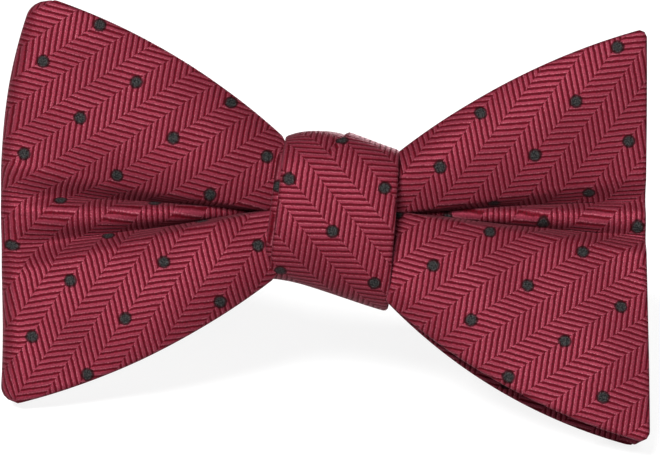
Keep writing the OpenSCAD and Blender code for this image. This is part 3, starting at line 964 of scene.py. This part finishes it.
def silk(name):
    """Herringbone silk with round pin dots."""
    n = Nodes(name)
    uv = n.cloth()
    along, across = n.parts(n.wobbled(n.wobbled(uv, 0.9, 0.20), 4.2, 0.20))
    from_start = n.math("SUBTRACT", across, COLUMN_START)
    zig = n.math("MULTIPLY", n.math("PINGPONG", from_start, COLUMN), RIB_SLOPE)
    phase = n.math("DIVIDE", n.math("ADD", along, zig), RIB_RUN)
    # the ribs of one column meet those of the next a little out of step
    falls = n.math("GREATER_THAN", n.math("WRAP", from_start, 2 * COLUMN, 0.0), COLUMN)
    phase = n.math("MULTIPLY_ADD", falls, OUT_OF_STEP, phase)
    wave = n.math("PINGPONG", phase, 0.5)                # 0 in the groove, 0.5 on the rib
    rib = n.ramp(wave, 0.05, 0.34)
    # threads that cross each rib
    other = n.math("SUBTRACT", along, zig)
    cross = n.ramp(n.math("PINGPONG", n.math("DIVIDE", other, CROSS_THREAD), 0.5), 0.0, 0.5)
    # dots, with a ragged dark rim
    ragged = n.math("MULTIPLY_ADD", n.noise(uv, 2.4), 0.40, -0.20)
    distance = n.math("ADD", from_dot(n, along, across), ragged)
    dot = n.ramp(distance, DOT_R - 0.22, DOT_R - 0.02, 1, 0)
    edge = n.ramp(n.math("ABSOLUTE", n.math("SUBTRACT", distance, DOT_R + 0.02)), 0.08, 0.36, 1, 0)
    # colour: a rib is paler where it catches the light along one side
    cloudy = n.noise(uv, 0.12, 3.0)
    fleck = n.noise(uv, 4.2, 2.0)
    side = n.math("WRAP", phase, 1.0, 0.0)
    glint = n.ramp(n.math("ABSOLUTE", n.math("SUBTRACT", side, 0.32)), 0.0, 0.12, 1, 0)
    glint = n.math("MULTIPLY", glint, n.ramp(fleck, 0.4, 0.65, 0.15, 0.85))
    ground = n.blend(n.ramp(fleck, 0.35, 0.65), scaled(RIB, 0.72), scaled(RIB, 1.18))
    ground = n.blend(n.ramp(cloudy, 0.3, 0.75, 0.0, 0.25), ground, scaled(RIB, 0.6))
    ground = n.blend(n.math("MULTIPLY", cross, 0.35), ground, scaled(RIB, 0.60))
    ground = n.blend(glint, ground, scaled(RIB, 1.2, 0.026))
    # painted shade: in patches, the grooves are darkened nearly to black where the crossing threads lie
    worn = n.math("MULTIPLY", n.ramp(n.noise(uv, 3.1), 0.42, 0.62), cross)
    cloth = n.blend(rib, n.blend(worn, GROOVE, GROOVE_PAINTED_SHADE), ground)
    cloth = n.blend(n.math("MULTIPLY", edge, 0.9), cloth, DOT_RIM)
    spot = n.blend(n.ramp(n.noise(uv, 4.0), 0.4, 0.65), DOT_DARK, DOT_PALE)
    n.feed("Base Color", n.blend(dot, cloth, spot))
    # ribs are smoother than grooves, and dots are duller
    rough = n.math("MULTIPLY_ADD", rib, -0.12, 0.60)
    n.feed("Roughness", n.math("MULTIPLY_ADD", dot, 0.12, rough))
    n.fix(Metallic=0.25, Specular_IOR_Level=0.03, Specular_Tint=(1.0, 0.45, 0.55, 1),
          Sheen_Weight=0.02, Sheen_Roughness=0.42, Sheen_Tint=(1.0, 0.45, 0.52, 1))
    height = n.math("MULTIPLY_ADD", cross, 0.15, n.math("SQRT", rib))
    n.bump(n.math("MULTIPLY_ADD", dot, 0.25, height), 0.11)
    return n.material


def canvas(name):
    """Plain-woven canvas, thread over thread."""
    n = Nodes(name)
    rows = (n.math("DIVIDE", part, CANVAS_PITCH) for part in n.parts(n.cloth()))
    height = n.math("ADD", *(n.math("PINGPONG", row, 0.5) for row in rows))
    n.feed("Base Color", n.blend(n.ramp(height, 0.2, 0.7), CANVAS_DARK, CANVAS_PALE))
    n.fix(Roughness=0.9)
    n.bump(height, 0.12)
    return n.material


def thread(name):
    """Twisted sewing thread."""
    n = Nodes(name)
    along, around = n.parts(n.cloth())
    twist = n.math("ADD", n.math("DIVIDE", along, 0.35), n.math("DIVIDE", around, 0.5))
    ply = n.ramp(n.math("PINGPONG", twist, 0.5), 0.05, 0.35)
    n.feed("Base Color", n.blend(ply, THREAD_DARK, THREAD_PALE))
    n.fix(Roughness=0.55)
    n.bump(ply, 0.05)
    return n.material


def nickel(name):
    """Polished nickel plate: fine drawn lines and duller spots."""
    n = Nodes(name)
    place_in = n.node("ShaderNodeTexCoord").outputs["Object"]
    stretched = n.node("ShaderNodeMapping")
    stretched.inputs["Scale"].default_value = (300, 300, 6000)
    n.link(place_in, stretched.inputs[0])
    lines = n.noise(stretched.outputs[0], 1.0, 3.0)
    dull = n.ramp(n.noise(place_in, 700.0, 3.0), 0.45, 0.75)
    n.feed("Base Color", n.blend(dull, NICKEL, NICKEL_DULL))
    n.feed("Roughness", n.math("MULTIPLY_ADD", dull, 0.16, n.math("MULTIPLY_ADD", lines, 0.14, 0.14)))
    n.fix(Metallic=1.0)
    n.bump(lines, 0.006)
    return n.material


# ---- pieces ----

BOW_SILK = silk("bow_silk")
BAND_SILK = silk("band_silk")
CANVAS = canvas("canvas")
THREAD = thread("thread")
METAL = nickel("clasp_metal")


def finish_piece(piece, material, slot, *nodes, body="bow"):
    """Gives a piece its material and its body, and hides the CAD nodes it stands for. Its slot is not
    used.

    A piece that spans two bodies gets no body of its own.
    """
    piece.data.materials.append(material)
    if body:
        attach(piece, body)
    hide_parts(*nodes)


fronts = front_grids()
rears = rear_grids()
finish_piece(shells("front_bow", fronts), BOW_SILK, "bow_silk", "front_bow_shell")
finish_piece(shells("rear_bow", rears), BOW_SILK, "bow_silk", "rear_bow_shell")
finish_piece(linings("front_bow_canvas", fronts, 80), CANVAS, "canvas", "front_bow_interlining")
finish_piece(linings("rear_bow_canvas", rears, 56), CANVAS, "canvas", "rear_bow_interlining")
finish_piece(knot(), BOW_SILK, "bow_silk", "knot_wrap")
finish_piece(knot_lining(), CANVAS, "canvas", "knot_interlining")
finish_piece(waist_thread(), THREAD, "thread", "waist_thread")
finish_piece(knot_stitches(), THREAD, "thread", "knot_tack_stitches")

finish_piece(band_side(-1), BAND_SILK, "band_silk", "neckband_front", "neckband_left", body=None)
finish_piece(band_side(1), BAND_SILK, "band_silk", "neckband_right", body=None)
finish_piece(band_lining(-1), CANVAS, "canvas", "neckband_front_interlining",
             "neckband_left_interlining", body=None)
finish_piece(band_lining(1), CANVAS, "canvas", "neckband_right_interlining", body=None)
finish_piece(strap_return(), BAND_SILK, "band_silk", "strap_return", body=None)
finish_piece(bar_tack("eye_bar_tack_thread", RING_R + STRAP_T / 2 + TURNED + 0.02,
                      BAR_AT - arc_angle(10), -1), THREAD, "thread", "eye_bar_tack", body="band_left")
finish_piece(bar_tack("slider_bar_tack_thread", SLIDER_BAR_R + BAR_R + TURNED - 0.15, SLIDER_AT + 4, 1),
             THREAD, "thread", "slider_bar_tack", body="slider_frame")


for node_name in ("eye", "hook", "slider"):
    part = frame["nodes"][node_name]
    part.data.materials.clear()
    part.data.materials.append(METAL)


# ---- stage ----

FLOOR_HALF = 6.0
FLOOR_GREY = (0.22, 0.22, 0.22, 1)
WHITE = (1, 1, 1, 1)
BOW_MIDDLE = (0, 0, 0.04)
# name, place in metres, diameter and power of each round light
LIGHTS = [("key", (-0.24, -0.94, 0.62), 0.36, 48),
          ("fill", (0.7, -1.0, 0.2), 0.8, 6),
          ("back", (0.30, 1.1, 0.10), 0.7, 14)]
CAMERA_AIM = (-0.8, -9.0, -1.6)     # in the worn frame, like every place that goes through place()
CAMERA_DISTANCE = 0.80
CAMERA_ROLL = 4.15
CAMERA_LENS = 242


def stage():
    """A pale floor and a dim white world."""
    mesh = bpy.data.meshes.new("floor")
    corners = [(FLOOR_HALF * x, FLOOR_HALF * y, 0) for x, y in ((-1, -1), (1, -1), (1, 1), (-1, 1))]
    mesh.from_pydata(corners, [], [(0, 1, 2, 3)])
    floor = add_object("floor", mesh)
    n = Nodes("floor")
    n.fix(Base_Color=FLOOR_GREY, Roughness=0.9, Specular_IOR_Level=0.1)
    n.fix(Emission_Color=WHITE, Emission_Strength=0.84)
    mesh.materials.append(n.material)
    world = bpy.data.worlds.new("studio")
    bpy.context.scene.world = world
    world.use_nodes = True
    colour, strength = world.node_tree.nodes["Background"].inputs[:2]
    colour.default_value = WHITE
    strength.default_value = 0.17


def area_light(name, place_at, size, power):
    """A soft round light that points at the bow."""
    data = bpy.data.lights.new(name, "AREA")
    data.shape = "DISK"
    data.size = size
    data.energy = power
    light = add_object(name, data)
    light.location = place_at
    way = Vector(BOW_MIDDLE) - Vector(place_at)
    light.rotation_euler = way.to_track_quat("-Z", "Y").to_euler()
    light.visible_camera = False


def camera():
    """Square to the bow's plane, as the bow leans, and turned so that the bow dips to the right."""
    data = bpy.data.cameras.new("camera")
    data.sensor_width = 36
    data.lens = CAMERA_LENS
    data.clip_start, data.clip_end = 0.01, 50
    cam = add_object("camera", data)
    roll = math.radians(CAMERA_ROLL)
    back, up, right = Vector(BACK), Vector(UP), Vector(RIGHT)
    cam_up = up * math.cos(roll) - right * math.sin(roll)
    cam_right = right * math.cos(roll) + up * math.sin(roll)
    turned = Matrix((cam_right, cam_up, -back)).transposed()
    eye = Vector(place(CAMERA_AIM)) - back * CAMERA_DISTANCE
    cam.matrix_world = Matrix.Translation(eye) @ turned.to_4x4()
    bpy.context.scene.camera = cam


stage()
camera()
for light in LIGHTS:
    area_light(*light)
bpy.context.scene.view_settings.view_transform = "Standard"
